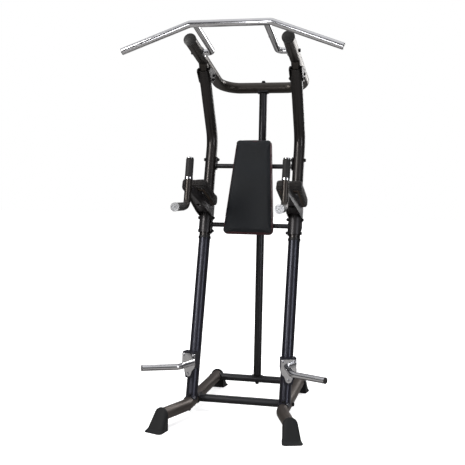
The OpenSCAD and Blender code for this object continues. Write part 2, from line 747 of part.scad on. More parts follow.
module push_up_screws() place() color([0.25, 0.25, 0.26]) both_sides()
    at_push_screws(-plate_off - 5.3) rotate([-90, 0, 0]) button(8, 9.5);
module pad_screws() place() color([0.3, 0.3, 0.3]) {
    at_pad_screws() translate([0, 0, 11.8]) button(6, 14);
    both_sides() arm_frame() at_arm_screws(-10.2) button(6, 13);
}
module arm_bracket_bolts() place() color([0.16, 0.16, 0.16]) both_sides()
    side_bolt(lower_y(arm_bolt_z), arm_bolt_z, 10, 2 * tube_r + 13.8, gap = 6.9);

base_side(-1);  // base_side_left
base_side(1);  // base_side_right
crossmember(front_cross_y, 80);  // base_front_crossmember
crossmember(rear_cross_y, 46);  // base_rear_crossmember
front_foot(-1);  // front_foot_left
front_foot(1);  // front_foot_right
rear_foot(-1);  // rear_foot_left
rear_foot(1);  // rear_foot_right
rear_post();
lower_upright(-1);  // lower_upright_left
lower_upright(1);  // lower_upright_right
upright_collar(-1);  // upright_collar_left
upright_collar(1);  // upright_collar_right
upper_upright(-1);  // upper_upright_left
upper_upright(1);  // upper_upright_right
upper_yoke();
yoke_cap(-1);  // yoke_cap_left
yoke_cap(1);  // yoke_cap_right
pull_up_bar();
pull_up_bar_plug(-1);  // pull_up_bar_plug_left
pull_up_bar_plug(1);  // pull_up_bar_plug_right
pad_crossbar(upper_cross_z, upper_bolt_z);  // pad_crossbar_upper
pad_crossbar(lower_cross_z, lower_bolt_z);  // pad_crossbar_lower
back_pad_board();
back_pad_cushion();
arm_bracket(-1);  // arm_bracket_left
arm_bracket(1);  // arm_bracket_right
arm_pad_board(-1);  // arm_pad_board_left
arm_pad_board(1);  // arm_pad_board_right
arm_pad_cushion(-1);  // arm_pad_cushion_left
arm_pad_cushion(1);  // arm_pad_cushion_right
dip_handle(-1);  // dip_handle_left
dip_handle(1);  // dip_handle_right
upright_grip(-1);  // upright_grip_left
upright_grip(1);  // upright_grip_right
dip_grip(-1);  // dip_grip_left
dip_grip(1);  // dip_grip_right
grip_collar(-1);  // grip_collar_left
grip_collar(1);  // grip_collar_right
upright_grip_cap(-1);  // upright_grip_cap_left
upright_grip_cap(1);  // upright_grip_cap_right
dip_grip_cap(-1);  // dip_grip_cap_left
dip_grip_cap(1);  // dip_grip_cap_right
push_up_handle(-1);  // push_up_handle_left
push_up_handle(1);  // push_up_handle_right
push_up_plug(-1);  // push_up_plug_left
push_up_plug(1);  // push_up_plug_right
post_bolts();
base_bolts();
upright_foot_bolts();
upright_through_bolts();
yoke_saddle_bolts();
pull_up_bar_bolts();
neutral_grip_screws();
push_up_screws();
pad_screws();
arm_bracket_bolts();
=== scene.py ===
# Power tower: a steel stand with pull-up bar, dip and push-up handles, a back pad and two arm pads.
# Metres, +Z up, standing on z = 0. The front faces -Y and X runs across.
# The CAD parts get materials; pads and feet are replaced by softer, more detailed meshes.
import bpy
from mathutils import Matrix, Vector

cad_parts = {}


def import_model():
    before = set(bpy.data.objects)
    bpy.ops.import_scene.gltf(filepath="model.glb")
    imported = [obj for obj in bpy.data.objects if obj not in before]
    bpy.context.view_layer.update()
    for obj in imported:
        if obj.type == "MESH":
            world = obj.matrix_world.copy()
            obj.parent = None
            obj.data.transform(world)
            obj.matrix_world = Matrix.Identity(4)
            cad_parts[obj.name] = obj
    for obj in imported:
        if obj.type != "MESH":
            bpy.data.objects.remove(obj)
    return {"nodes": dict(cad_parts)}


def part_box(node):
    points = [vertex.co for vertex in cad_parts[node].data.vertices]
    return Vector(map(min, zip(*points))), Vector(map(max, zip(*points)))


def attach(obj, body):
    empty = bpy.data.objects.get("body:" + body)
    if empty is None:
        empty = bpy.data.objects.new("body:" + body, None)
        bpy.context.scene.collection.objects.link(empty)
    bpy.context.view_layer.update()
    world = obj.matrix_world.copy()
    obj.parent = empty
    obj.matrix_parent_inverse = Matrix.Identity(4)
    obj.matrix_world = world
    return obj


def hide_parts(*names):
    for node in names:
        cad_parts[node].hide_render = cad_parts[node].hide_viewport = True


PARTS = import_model()["nodes"]
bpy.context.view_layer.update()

import math
import random
from fnmatch import fnmatchcase

import bmesh
import bpy
from mathutils import Matrix, Vector
from mathutils.kdtree import KDTree

scene = bpy.context.scene


# ---------------------------------------------------------------- node helpers
MIDDLE = (0.3, 0.7)   # where most of a noise texture's values lie


def set_inputs(node, **values):
    for key, value in values.items():
        node.inputs[key.replace("_", " ")].default_value = value


def shade(colour, factor, lift=0.0):
    return tuple(min(1, c * factor + lift) for c in colour)


class Nodes:
    """Short calls for building a node tree; most return an output socket."""

    def __init__(self, tree):
        self.tree = tree

    def add(self, kind, **properties):
        node = self.tree.nodes.new("ShaderNode" + kind)
        for key, value in properties.items():
            setattr(node, key, value)
        return node

    def link(self, source, target):
        self.tree.links.new(source, target)

    def remap(self, source, span=MIDDLE, to=(0, 1)):
        node = self.add("MapRange")
        for socket, value in zip(node.inputs[1:5], span + to):
            socket.default_value = value
        self.link(source, node.inputs[0])
        return node.outputs[0]


class Material(Nodes):
    def __init__(self, name):
        self.material = bpy.data.materials.new(name)
        self.material.use_nodes = True
        super().__init__(self.material.node_tree)
        self.shader = self.tree.nodes["Principled BSDF"]
        self.place = self.add("TexCoord").outputs["Object"]

    def stretched(self, scale):
        node = self.add("Mapping")
        set_inputs(node, Scale=scale)
        self.link(self.place, node.inputs["Vector"])
        return node.outputs["Vector"]

    def noise(self, scale, detail=2.0, roughness=0.5, distortion=0.0, vector=None, output="Fac"):
        node = self.add("TexNoise")
        set_inputs(node, Scale=scale, Detail=detail, Roughness=roughness, Distortion=distortion)
        self.link(vector or self.place, node.inputs["Vector"])
        return node.outputs[output]

    def voronoi(self, scale, feature="DISTANCE_TO_EDGE", vector=None):
        node = self.add("TexVoronoi", feature=feature)
        set_inputs(node, Scale=scale)
        self.link(vector or self.place, node.inputs["Vector"])
        return node.outputs["Distance"]

    def maths(self, operation, source, other):
        node = self.add("Math", operation=operation)
        self.link(source, node.inputs[0])
        if isinstance(other, (int, float)):
            node.inputs[1].default_value = other
        else:
            self.link(other, node.inputs[1])
        return node.outputs[0]

    def times(self, source, by):
        return self.maths("MULTIPLY", source, by)

    def plus(self, source, other):
        return self.maths("ADD", source, other)

    def mix(self, factor, low, high):
        """Blend two colours, each an RGB tuple or a socket."""
        node = self.add("Mix", data_type="RGBA")
        self.link(factor, node.inputs[0])
        for socket, colour in ((node.inputs[6], low), (node.inputs[7], high)):
            if isinstance(colour, tuple):
                socket.default_value = colour + (1.0,)
            else:
                self.link(colour, socket)
        return node.outputs[2]

    def bump(self, height, distance, strength=1.0, normal=None):
        node = self.add("Bump")
        set_inputs(node, Distance=distance, Strength=strength)
        self.link(height, node.inputs["Height"])
        if normal is not None:
            self.link(normal, node.inputs["Normal"])
        return node.outputs["Normal"]

    def edge(self, radius):
        """A mask, 0 on flats and towards 1 on sharp edges, and the rounded normal."""
        bevel = self.add("Bevel", samples=4)
        set_inputs(bevel, Radius=radius)
        geometry = self.add("NewGeometry")
        dot = self.add("VectorMath", operation="DOT_PRODUCT")
        self.link(bevel.outputs[0], dot.inputs[0])
        self.link(geometry.outputs["Normal"], dot.inputs[1])
        return self.remap(dot.outputs["Value"], span=(0.995, 0.80)), bevel.outputs[0]

    def finish(self, colour, roughness, normal, **values):
        for key, source in (("Base Color", colour), ("Roughness", roughness), ("Normal", normal)):
            self.link(source, self.shader.inputs[key])
        set_inputs(self.shader, **values)
        return self.material


# ---------------------------------------------------------------- materials
# Function arguments: base is the RGB colour, rough the middle roughness, spec the specular level; a
# powder's tint colours its highlights, a painted reflection colour.
CHIP_COLOUR = (0.10, 0.095, 0.09)


def powder_tree(name, base, rough, tint, spec, metallic=0.0):
    """Powder coat with chipped edges and faint scuffs; returns the tree and its colour socket."""
    t = Material(name)
    edge, rounded = t.edge(radius=0.0014)
    broad = t.noise(scale=7.0, detail=3.0)
    fine = t.noise(scale=420.0, detail=2.0, roughness=0.55)
    speck = t.noise(scale=1500.0, detail=1.0)
    colour = t.mix(t.remap(broad), shade(base, 0.82), shade(base, 1.22))
    patches = t.remap(t.noise(scale=95.0, detail=3.0, roughness=0.6), span=(0.56, 0.66))
    chips = t.times(edge, by=patches)
    colour = t.mix(t.times(chips, by=0.55), colour, CHIP_COLOUR)
    roughness = t.plus(t.remap(broad, to=(rough - 0.035, rough + 0.045)),
                       t.times(t.remap(speck, span=(0.4, 0.6)), by=0.03))
    scuff = t.noise(scale=38.0, detail=4.0, roughness=0.7, vector=t.stretched((1.0, 1.0, 0.22)))
    roughness = t.plus(roughness, t.times(t.remap(scuff, span=(0.60, 0.74)), by=0.10))
    height = t.plus(fine, t.times(speck, by=0.35))
    t.finish(colour, roughness, t.bump(height, distance=0.00012, strength=0.55, normal=rounded),
             Metallic=metallic, Specular_IOR_Level=spec, Coat_Weight=0.0, Coat_Roughness=0.18,
             Specular_Tint=tint + (1.0,))
    return t, colour


def powder(**settings):
    return powder_tree(**settings)[0].material


def chrome(name, base, rough):
    t = Material(name)
    edge, rounded = t.edge(radius=0.0012)
    smear = t.noise(scale=16.0, detail=4.0, roughness=0.6, vector=t.stretched((1.0, 1.0, 0.5)))
    fine = t.noise(scale=260.0)
    colour = t.mix(t.remap(smear, span=(0.35, 0.7)), base, shade(base, 0.93))
    colour = t.mix(t.times(edge, by=0.35), colour, (0.92, 0.92, 0.93))
    roughness = t.plus(t.remap(smear, span=(0.35, 0.75), to=(rough, rough + 0.07)),
                       t.times(t.remap(fine, span=(0.55, 0.8)), by=0.04))
    normal = t.bump(t.noise(scale=60.0), distance=0.00008, strength=0.35, normal=rounded)
    return t.finish(colour, roughness, normal, Metallic=1.0)


def rubber(name, base, rough, grain, depth, sheen=0.12, spec=0.4):
    """Grained rubber with dusty patches; grain is the texture scale, depth its height."""
    t = Material(name)
    edge, rounded = t.edge(radius=0.0012)
    broad = t.noise(scale=11.0, detail=4.0, roughness=0.6)
    fine = t.noise(scale=grain, detail=3.0, roughness=0.6)
    cell = t.voronoi(scale=grain * 0.9, feature="F1")
    colour = t.mix(t.remap(broad, span=(0.3, 0.72)), shade(base, 0.8), shade(base, 1.3))
    patches = t.noise(scale=52.0, detail=4.0, roughness=0.7)
    dust = t.times(t.remap(patches, span=(0.58, 0.8)), by=0.25)
    colour = t.mix(dust, colour, shade(base, 2.2, lift=0.01))
    colour = t.mix(t.times(edge, by=0.35), colour, shade(base, 2.0, lift=0.008))
    roughness = t.remap(broad, to=(rough - 0.06, rough + 0.08))
    height = t.plus(fine, t.times(cell, by=0.6))
    return t.finish(colour, roughness,
                    t.bump(height, distance=depth, strength=0.8, normal=rounded),
                    Specular_IOR_Level=spec, Sheen_Weight=sheen, Sheen_Roughness=0.5)


def vinyl(name, base, rough, grain=430.0, sheen=0.08, spec=0.42):
    """Stretched upholstery vinyl: pebbled grain, finer creases and broad undulation."""
    t = Material(name)
    # the grain's coordinates are pushed about by a little noise
    warp = t.add("VectorMath", operation="ADD")
    wander = t.noise(scale=55.0, output="Color")
    shift = t.add("VectorMath", operation="SCALE")
    set_inputs(shift, Scale=0.0035)
    t.link(wander, shift.inputs[0])
    t.link(t.place, warp.inputs[0])
    t.link(shift.outputs[0], warp.inputs[1])
    warped = warp.outputs[0]
    pebble = t.voronoi(scale=grain, vector=warped)
    fine = t.voronoi(scale=grain * 2.3, vector=warped)
    broad = t.noise(scale=5.5, detail=4.0, roughness=0.6)
    colour = t.mix(t.remap(broad), shade(base, 0.75), shade(base, 1.25))
    # painted shade: the grain's hollows are darkened, and the same mask makes them rougher
    shaded_hollows = t.remap(pebble, span=(0.0, 0.10), to=(1.0, 0.0))
    colour = t.mix(t.times(shaded_hollows, by=0.45), colour, shade(base, 0.45))
    roughness = t.plus(t.remap(broad, to=(rough - 0.05, rough + 0.07)), t.times(shaded_hollows, by=0.15))
    height = t.plus(t.remap(pebble, span=(0.0, 0.22)),
                    t.times(t.remap(fine, span=(0, 0.25)), by=0.35))
    grained = t.bump(height, distance=0.00030, strength=0.75)
    undulation = t.noise(scale=14.0, detail=4.0, roughness=0.55)
    normal = t.bump(undulation, distance=0.0016, strength=0.35, normal=grained)
    return t.finish(colour, roughness, normal,
                    Specular_IOR_Level=spec, Sheen_Weight=sheen, Sheen_Roughness=0.45)


def satin(name, base, rough, metallic):
    t = Material(name)
    edge, rounded = t.edge(radius=0.0010)
    cloud = t.noise(scale=34.0)
    colour = t.mix(t.remap(cloud), shade(base, 0.94), base)
    colour = t.mix(t.times(edge, by=0.25), colour, (0.95, 0.95, 0.96))
    roughness = t.remap(cloud, to=(rough - 0.02, rough + 0.04))
    fine = t.noise(scale=420.0, detail=1.0)
    normal = t.bump(fine, distance=0.00002, strength=0.08, normal=rounded)
    return t.finish(colour, roughness, normal, Metallic=metallic)


def plastic(name, base, rough):
    t = Material(name)
    edge, rounded = t.edge(radius=0.0010)
    broad = t.noise(scale=24.0, detail=3.0)
    colour = t.mix(t.remap(broad), shade(base, 0.85), shade(base, 1.25))
    colour = t.mix(t.times(edge, by=0.3), colour, shade(base, 2, lift=0.01))
    roughness = t.remap(t.noise(scale=70.0, detail=3.0), to=(rough - 0.06, rough + 0.08))
    normal = t.bump(t.noise(scale=700.0), distance=0.00008, strength=0.6, normal=rounded)
    return t.finish(colour, roughness, normal, Specular_IOR_Level=0.45)


def steel(name, base, rough, metallic=1.0):
    t = Material(name)
    edge, rounded = t.edge(radius=0.0007)
    broad = t.noise(scale=90.0, detail=3.0)
    colour = t.mix(t.remap(broad), shade(base, 0.8), shade(base, 1.15))
    colour = t.mix(t.times(edge, by=0.5), colour, shade(base, 1.6, lift=0.03))
    roughness = t.remap(t.noise(scale=300.0, detail=3.0), to=(rough - 0.08, rough + 0.1))
    fine = t.noise(scale=1600.0, detail=1.0)
    normal = t.bump(fine, distance=0.00005, strength=0.6, normal=rounded)
    return t.finish(colour, roughness, normal, Metallic=metallic)


def plywood(name):
    t = Material(name)
    grain = t.noise(scale=6.0, detail=6.0, distortion=1.6, vector=t.stretched((9.0, 60.0, 1.6)))
    colour = t.mix(t.remap(grain, span=(0.32, 0.68)),
                   (0.030, 0.021, 0.015), (0.105, 0.074, 0.050))
    streaks = t.noise(scale=200.0, detail=3.0, roughness=0.6,
                      vector=t.stretched((1.0, 1.0, 0.08)))
    pores = t.remap(streaks, span=(0.62, 0.75))
    colour = t.mix(t.times(pores, by=0.7), colour, (0.012, 0.009, 0.007))
    roughness = t.remap(grain, to=(0.55, 0.72))
    height = t.plus(grain, t.times(pores, by=-0.6))
    return t.finish(colour, roughness, t.bump(height, distance=0.0003, strength=0.7))


def yoke_powder(**settings):
    """Powder coat, with everything well below the line of the yoke's arms in plain black."""
    black = (0.0035, 0.0033, 0.0032)
    rear_inset = 0.034              # yoke's rear limit to the middle of its rear tube
    fade_below = (0.0362, 0.0358)   # distances below the arm line where black turns to coat
    t, colour = powder_tree(**settings)
    cap_points = [v.co for v in PARTS["yoke_cap_right"].data.vertices]
    cap_middle = sum(cap_points, Vector()) / len(cap_points)
    rear_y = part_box("upper_yoke")[1].y - rear_inset
    rear = Vector((0, rear_y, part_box("rear_post")[1].z))
    arm = Vector((0, rear.y - cap_middle.y, rear.z - cap_middle.z)).normalized()
    up = Vector((0, -arm.z, arm.y))
    if up.z < 0:
        up = -up
    geometry = t.add("NewGeometry")
    dot = t.add("VectorMath", operation="DOT_PRODUCT")
    dot.inputs[1].default_value = up
    t.link(geometry.outputs["Position"], dot.inputs[0])
    coated = t.remap(dot.outputs["Value"],
                     span=tuple(cap_middle.dot(up) - drop for drop in fade_below))
    t.link(t.mix(coated, black, colour), t.shader.inputs["Base Color"])
    return t.material


# The coat's warm tint paints its highlights taupe: a painted reflection colour.
FRAME_COAT = dict(base=(0.0100, 0.0088, 0.0080), rough=0.30, tint=(1.0, 0.90, 0.82),
                  spec=0.66, metallic=0.10)

LOOKS = {
    "frame": powder(name="powder_frame", **FRAME_COAT),
    # painted shade: the uprights get a darker copy of the one frame coat
    "frame_up": powder(name="powder_upright_shaded", base=(0.0062, 0.0055, 0.0052), rough=0.28,
                       tint=(1.0, 0.94, 0.92), spec=0.58, metallic=0.06),
    # painted reflection: the lower uprights' copy has a blue base and tint for blue-violet
    # highlights
    "frame_low": powder(name="powder_lower_blue_reflection", base=(0.0085, 0.0080, 0.0105), rough=0.29,
                        tint=(0.80, 0.82, 1.0), spec=0.72, metallic=0.12),
    # painted highlight: the base tubes get a lighter, more metallic copy of the coat with a warm
    # tint
    "frame_base": powder(name="powder_base_lit", base=(0.0440, 0.0375, 0.0335), rough=0.38,
                         tint=(1.0, 0.88, 0.80), spec=0.78, metallic=0.28),
    # painted highlight: the arm brackets get a lighter copy of the coat
    "frame_arm": powder(name="powder_arm_lit", base=(0.0190, 0.0175, 0.0180), rough=0.36,
                        tint=(0.95, 0.92, 0.94), spec=0.66, metallic=0.16),
    "frame_cross": powder(name="powder_cross", base=(0.0060, 0.0058, 0.0060), rough=0.31,
                          tint=(0.95, 0.95, 1.0), spec=0.52),
    "chrome": chrome("chrome_plate", base=(0.74, 0.74, 0.75), rough=0.09),
    "chrome_soft": satin("chrome_satin", base=(0.74, 0.75, 0.76), rough=0.26, metallic=0.72),
    "boot": rubber("boot_rubber", base=(0.0075, 0.0080, 0.0084), rough=0.66, grain=800.0,
                   depth=0.00022, sheen=0.02, spec=0.30),
    "grip": rubber("grip_rubber", base=(0.0090, 0.0084, 0.0082), rough=0.58, grain=1300.0,
                   depth=0.00016, sheen=0.04),
    "plug": plastic("plug_plastic", base=(0.0070, 0.0064, 0.0060), rough=0.40),
    "collar": plastic("collar_plastic", base=(0.0050, 0.0050, 0.0052), rough=0.46),
    "ply": plywood("plywood_stained"),
    "vinyl": vinyl("vinyl_black", base=(0.0056, 0.0070, 0.0090), rough=0.54,
                   sheen=0.02, spec=0.30),
    "maroon": vinyl("vinyl_maroon", base=(0.046, 0.0085, 0.0115), rough=0.50, sheen=0.03),
    "vinyl_arm": vinyl("vinyl_arm", base=(0.0105, 0.0086, 0.0078), rough=0.52, grain=460.0,
                       sheen=0.03, spec=0.34),
    "bolt": steel("bolt_black", base=(0.016, 0.0155, 0.016), rough=0.40, metallic=0.65),
    "zinc": steel("screw_zinc", base=(0.46, 0.46, 0.48), rough=0.30),
    "staple": steel("staple_wire", base=(0.55, 0.54, 0.52), rough=0.28),
    "thread": rubber("thread_nylon", base=(0.015, 0.0135, 0.014), rough=0.6, grain=2200.0,
                     depth=0.0001),
    "yoke": yoke_powder(name="powder_yoke", **FRAME_COAT),
}

# look, then the part names it goes on; the first match wins and the rest are bolts
PART_LOOKS = [
    ("yoke", "upper_yoke"),
    ("frame_base", "base_side*"),
    ("frame_cross", "*crossmember*", "rear_post", "pad_crossbar_upper", "pad_crossbar_lower"),
    ("boot", "*foot_left", "*foot_right"),
    ("collar", "upright_collar*"),
    ("frame_low", "lower_upright*"),
    ("frame_up", "upper_upright*"),
    ("frame_arm", "arm_bracket_l*", "arm_bracket_r*"),
    ("frame", "upper_yoke*", "dip_handle*"),
    ("plug", "yoke_cap*", "pull_up_bar_plug*", "push_up_plug*"),
    ("chrome", "pull_up_bar", "push_up_handle*", "grip_collar*", "upright_grip_cap*"),
    ("chrome_soft", "dip_grip_cap*"),
    ("grip", "upright_grip*", "dip_grip*"),
    ("vinyl", "back_pad_cushion"),
    ("vinyl_arm", "arm_pad_cushion*"),
    ("ply", "*board*"),
    ("zinc", "push_up_screws", "neutral_grip_screws", "pad_screws"),
]


def look_of(part):
    for look, *patterns in PART_LOOKS:
        if any(fnmatchcase(part, pattern) for pattern in patterns):
            return look
    return "bolt"


for part, obj in PARTS.items():
    obj.data.materials.clear()
    obj.data.materials.append(LOOKS[look_of(part)])


# ---------------------------------------------------------------- mesh helpers
def new_object(name, verts, faces, materials, smooth=True):
    mesh = bpy.data.meshes.new(name)
    mesh.from_pydata([tuple(v) for v in verts], [], faces)
    mesh.validate()
    mesh.update()
    obj = bpy.data.objects.new(name, mesh)
    scene.collection.objects.link(obj)
    for material in materials:
        mesh.materials.append(material)
    if smooth:
        for polygon in mesh.polygons:
            polygon.use_smooth = True
    return obj


def add_modifier(obj, kind, **settings):
    modifier = obj.modifiers.new(kind.lower(), kind)
    for key, value in settings.items():
        setattr(modifier, key, value)
    return modifier


def apply_modifiers(obj):
    graph = bpy.context.evaluated_depsgraph_get()
    mesh = bpy.data.meshes.new_from_object(
        obj.evaluated_get(graph), preserve_all_data_layers=True, depsgraph=graph)
    obj.modifiers.clear()
    old = obj.data
    obj.data = mesh
    mesh.name = obj.name
    if old.users == 0:
        bpy.data.meshes.remove(old)


def recalculate_normals(obj):
    bm = bmesh.new()
    bm.from_mesh(obj.data)
    bmesh.ops.recalc_face_normals(bm, faces=bm.faces)
    bm.to_mesh(obj.data)
    bm.free()


def register(obj, replaces=None):
    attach(obj, "root")
    if replaces:
        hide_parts(replaces)


def tube_sides(first, rings, size, closed=False):
    """Quads joining rings of size vertices each, the first vertex being number first."""
    faces = []
    for i in range(rings if closed else rings - 1):
        here = first + i * size
        there = first + (i + 1) % rings * size
        for k in range(size):
            k_next = (k + 1) % size
            faces.append((here + k, here + k_next, there + k_next, there + k))
    return faces


# ---------------------------------------------------------------- flat outlines
# An outline is a closed counter-clockwise list of (across, along) points.
def convex_hull(points):
    points = sorted(set((round(a, 6), round(b, 6)) for a, b in points))

    def turns_left(p, q, r):
        return (q[0] - p[0]) * (r[1] - p[1]) - (q[1] - p[1]) * (r[0] - p[0]) > 1e-12

    def half(sequence):
        chain = []
        for point in sequence:
            while len(chain) > 1 and not turns_left(chain[-2], chain[-1], point):
                chain.pop()
            chain.append(point)
        return chain[:-1]

    return half(points) + half(points[::-1])


def running_lengths(outline):
    lengths = [0.0]
    for i, a in enumerate(outline):
        b = outline[(i + 1) % len(outline)]
        lengths.append(lengths[-1] + math.hypot(b[0] - a[0], b[1] - a[1]))
    return lengths


def resample(outline, count):
    lengths = running_lengths(outline)
    points = []
    j = 0
    for k in range(count):
        distance = lengths[-1] * k / count
        while lengths[j + 1] < distance:
            j += 1
        part = (distance - lengths[j]) / max(1e-12, lengths[j + 1] - lengths[j])
        a, b = outline[j], outline[(j + 1) % len(outline)]
        points.append((a[0] + (b[0] - a[0]) * part, a[1] + (b[1] - a[1]) * part))
    return points


def spaced(outline, pitch):
    return resample(outline, int(running_lengths(outline)[-1] / pitch))


def tangent(start, end):
    """Unit direction from start to end; (y, -x) of it points out of the outline."""
    x, y = end[0] - start[0], end[1] - start[1]
    length = math.hypot(x, y)
    return x / length, y / length


def tangent_at(outline, i):
    return tangent(outline[i - 1], outline[(i + 1) % len(outline)])


def inset(outline, distance):
    points = []
    for i, (a, b) in enumerate(outline):
        x, y = tangent_at(outline, i)
        points.append((a - y * distance, b + x * distance))
    return points


class Slab:
    """Frame of a flat CAD slab: centre, axes across and along, and the normal of the broad
    face nearest to facing. Heights bottom and top are along the normal; outline is the
    edge of the top face."""

    def __init__(self, part, facing, outline_points):
        mesh = PARTS[part].data
        totals = {}   # area and area-weighted normal of each group of parallel faces
        for polygon in mesh.polygons:
            key = tuple(round(c, 2) for c in polygon.normal)
            total = totals.setdefault(key, [0.0, Vector()])
            total[0] += polygon.area
            total[1] += polygon.normal * polygon.area
        broad = max((total for total in totals.values()
                     if total[1].normalized().dot(facing) > 0.6), key=lambda total: total[0])
        self.normal = broad[1].normalized()
        x_axis = Vector((1, 0, 0))
        self.across = (x_axis - self.normal * x_axis.dot(self.normal)).normalized()
        self.along = self.normal.cross(self.across)
        self.uphill = self.along if self.along.z > 0 else -self.along
        low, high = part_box(part)
        self.centre = (low + high) / 2
        points = [self.local(v.co) for v in mesh.vertices]
        self.bottom = min(p[2] for p in points)
        self.top = max(p[2] for p in points)
        self.thickness = self.top - self.bottom
        top_points = [(a, b) for a, b, height in points if height > self.top - 1e-4]
        self.outline = resample(convex_hull(top_points), outline_points)

    def local(self, position):
        offset = position - self.centre
        return offset.dot(self.across), offset.dot(self.along), offset.dot(self.normal)

    def direction(self, a, b):
        return self.across * a + self.along * b

    def point(self, a, b, height):
        return self.centre + self.across * a + self.along * b + self.normal * height


# ---------------------------------------------------------------- upholstered pads
COVER_GROWTH = 0.0060                 # most that the cloth may move out of the foam block
CROWN_ROOM = COVER_GROWTH * 0.55      # the block's face starts this far below the slab's
COVER_INSET = 0.0009                  # block's sides inside the slab's
RIM_STEPS = 6
CLOTH_FRAMES = 20
SEAM_WIDTH = 0.0016
# Gusset faces turned uphill past this take the face material: on the back pad, black vinyl as
# painted shade on a gusset that is maroon all round.
TOP_SHADE_UPHILL = 0.55                   # least dot product of a top-edge face with uphill
VINYL_THICKNESS = 0.0011


def foam_block(name, slab, rim_radius, materials):
    """Block a little smaller than the slab, with a rounded front rim, as an even mesh."""
    rim_top = slab.top - CROWN_ROOM
    # (inset, height) from the back to the front
    profile = [(COVER_INSET + 0.0020, slab.bottom + 0.0004),
               (COVER_INSET, slab.bottom + 0.003),
               (COVER_INSET, slab.bottom + slab.thickness * 0.45)]
    for k in range(RIM_STEPS + 1):
        angle = math.pi / 2 * k / RIM_STEPS
        profile.append((COVER_INSET + rim_radius * (1 - math.cos(angle)),
                        rim_top - rim_radius + rim_radius * math.sin(angle)))
    verts = [slab.point(a, b, height)
             for distance, height in profile for a, b in inset(slab.outline, distance)]
    size = len(slab.outline)
    faces = tube_sides(0, len(profile), size)
    faces.append(tuple(range(size))[::-1])
    faces.append(tuple(range((len(profile) - 1) * size, len(profile) * size)))
    obj = new_object(name, verts, faces, materials)
    add_modifier(obj, "REMESH", mode="VOXEL", voxel_size=0.0045, use_smooth_shade=True)
    apply_modifiers(obj)
    add_modifier(obj, "SMOOTH", factor=0.5, iterations=3)
    apply_modifiers(obj)
    return obj


def inflate(obj, slab):
    """Swell the cover as pressurised cloth pinned at its back, within COVER_GROWTH."""
    mesh = obj.data
    rest = [v.co.copy() for v in mesh.vertices]
    pin = obj.vertex_groups.new(name="pin")
    for v in mesh.vertices:
        height = slab.local(v.co)[2]
        if height < slab.bottom + 0.005:
            pin.add([v.index], 1.0, "REPLACE")
        elif height <= slab.bottom + 0.012:
            pin.add([v.index], 0.5, "REPLACE")
    cloth = add_modifier(obj, "CLOTH")
    settings = cloth.settings
    settings.quality = 6
    settings.mass = 0.3
    settings.tension_stiffness = settings.compression_stiffness = 22.0
    settings.shear_stiffness = 16.0
    settings.bending_stiffness = 2.0
    settings.use_pressure = True
    settings.uniform_pressure_force = 4.0
    settings.vertex_group_mass = "pin"
    settings.effector_weights.gravity = 0.0
    cloth.collision_settings.use_self_collision = False
    cloth.point_cache.frame_start, cloth.point_cache.frame_end = 1, CLOTH_FRAMES
    for frame in range(1, CLOTH_FRAMES + 1):
        scene.frame_set(frame)
    graph = bpy.context.evaluated_depsgraph_get()
    swollen = [v.co.copy() for v in obj.evaluated_get(graph).data.vertices]
    obj.modifiers.clear()
    scene.frame_set(1)
    for v, before, after in zip(mesh.vertices, rest, swollen):
        move = after - before
        length = move.length
        if length > 1e-9:
            limited = COVER_GROWTH * math.tanh(length / COVER_GROWTH)
            v.co = before + move * (limited / length)
    obj.vertex_groups.clear()


def pinch_seam(mesh, slab, seam_height, depth):
    """Press a groove into the cover along the seam between face and gusset."""
    outline = slab.outline
    outwards = []
    for i, start in enumerate(outline):
        x, y = tangent(start, outline[(i + 1) % len(outline)])
        outwards.append((y, -x))
    for v in mesh.vertices:
        a, b, height = slab.local(v.co)
        offset = height - seam_height
        if height <= slab.bottom + slab.thickness * 0.35 or abs(offset) >= 0.010:
            continue
        pinch = math.exp(-(offset / SEAM_WIDTH) ** 2)
        if pinch <= 0.01:
            continue
        inside = min(-((a - start[0]) * out[0] + (b - start[1]) * out[1])
                     for start, out in zip(outline, outwards))
        if inside >= 0.020:
            continue
        nearest = min(range(len(outline)),
                      key=lambda i: (outline[i][0] - a) ** 2 + (outline[i][1] - b) ** 2)
        v.co -= (slab.direction(*outwards[nearest]) * (depth * pinch)
                 + slab.normal * (depth * 0.35 * pinch))


def cover(cushion, name, slab, materials, rim_radius, seam_depth):
    """Vinyl over foam, face then gusset material; returns the object and its seam's height."""
    obj = foam_block(name, slab, rim_radius, materials)
    inflate(obj, slab)
    add_modifier(obj, "SUBSURF", levels=1, render_levels=1)
    apply_modifiers(obj)
    mesh = obj.data
    seam_height = slab.top - CROWN_ROOM - rim_radius * 0.62
    pinch_seam(mesh, slab, seam_height, seam_depth)
    for polygon in mesh.polygons:
        height = slab.local(polygon.center)[2]
        # painted shade: gusset faces turned uphill take the face material, which on the back pad is
        # black instead of maroon
        on_gusset = height < seam_height and polygon.normal.dot(slab.uphill) < TOP_SHADE_UPHILL
        polygon.material_index = 1 if on_gusset else 0
        polygon.use_smooth = True
    mesh.update()
    register(obj, replaces=cushion)
    obj["pad"] = 1
    return obj, seam_height


STITCH_PITCH = 0.0062
STITCH_LENGTH = 0.0042
STITCH_RADIUS = 0.00042
STITCH_ABOVE_SEAM = 0.0034
STITCH_SIDES = 6
# (along in stitch lengths, out of the cover in radii)
STITCH_PATH = [(-0.5, -0.6), (-0.34, 0.5), (0.0, 0.8), (0.34, 0.5), (0.5, -0.6)]


